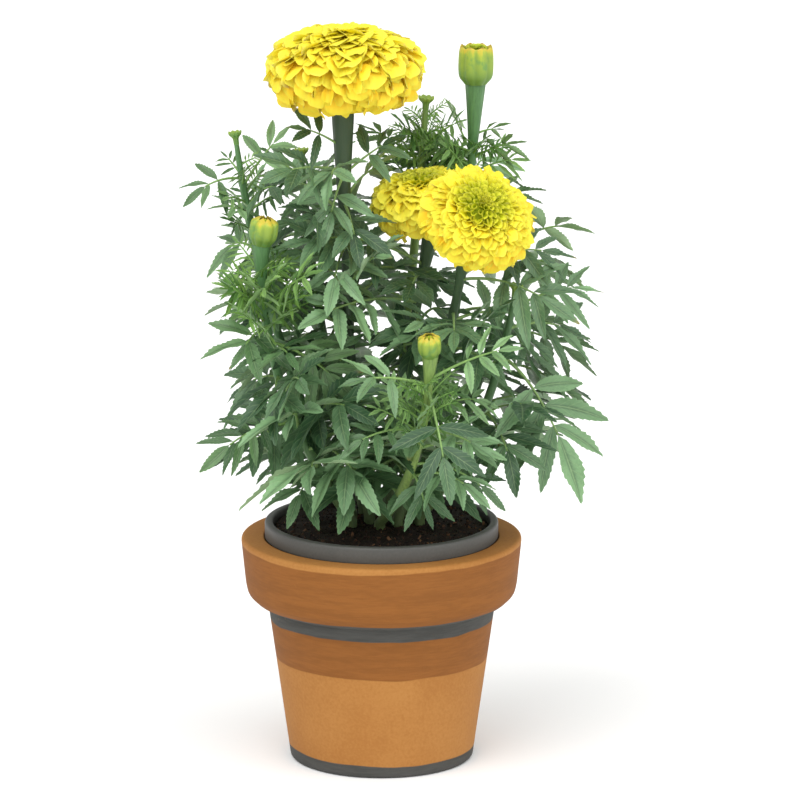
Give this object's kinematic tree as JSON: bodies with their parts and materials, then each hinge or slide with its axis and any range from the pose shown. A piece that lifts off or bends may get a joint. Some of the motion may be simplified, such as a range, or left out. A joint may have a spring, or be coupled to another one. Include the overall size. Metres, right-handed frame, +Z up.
{
  "type": "potted african marigold",
  "caption": "Bushy African marigold with double yellow flower heads and ribbed buds on leafy stems, rooted in compost in a plastic grower's pot that stands in a banded clay pot.",
  "frame": {"origin": "middle of the clay pot's flat base", "axes": "+Z up along the pot's axis, -Y towards the front as pictured, +X to the viewer's right"},
  "size_m": [0.2155, 0.19, 0.3746],
  "materials": {
    "clay": "matt painted terracotta with brown and charcoal bands",
    "grower_plastic": "matt charcoal moulded plastic",
    "compost": "damp crumbly potting compost",
    "foliage": "soft dull green leaves and stems",
    "petals": "soft matt lemon yellow petals",
    "young_petals": "soft yellow-green young petals"
  },
  "bodies": {
    "root": {"clay_pot": "clay", "grower_pot": "grower_plastic", "compost": "compost", "stem_tall_bloom": "foliage", "stem_left_bloom": "foliage", "stem_right_bloom": "foliage", "stem_tall_bud": "foliage", "stem_small_bud": "foliage", "stem_left_bud": "foliage", "stem_left_top": "foliage", "stem_centre_bud": "foliage", "stem_right_low": "foliage", "stem_back_left": "foliage", "stem_back_right": "foliage", "bloom_tall": "petals", "bloom_left": "petals", "bloom_right": "petals", "petals_in_tall_bud": "young_petals", "petals_in_left_bud": "young_petals", "petals_in_centre_bud": "young_petals"}
  },
  "joints": []
}
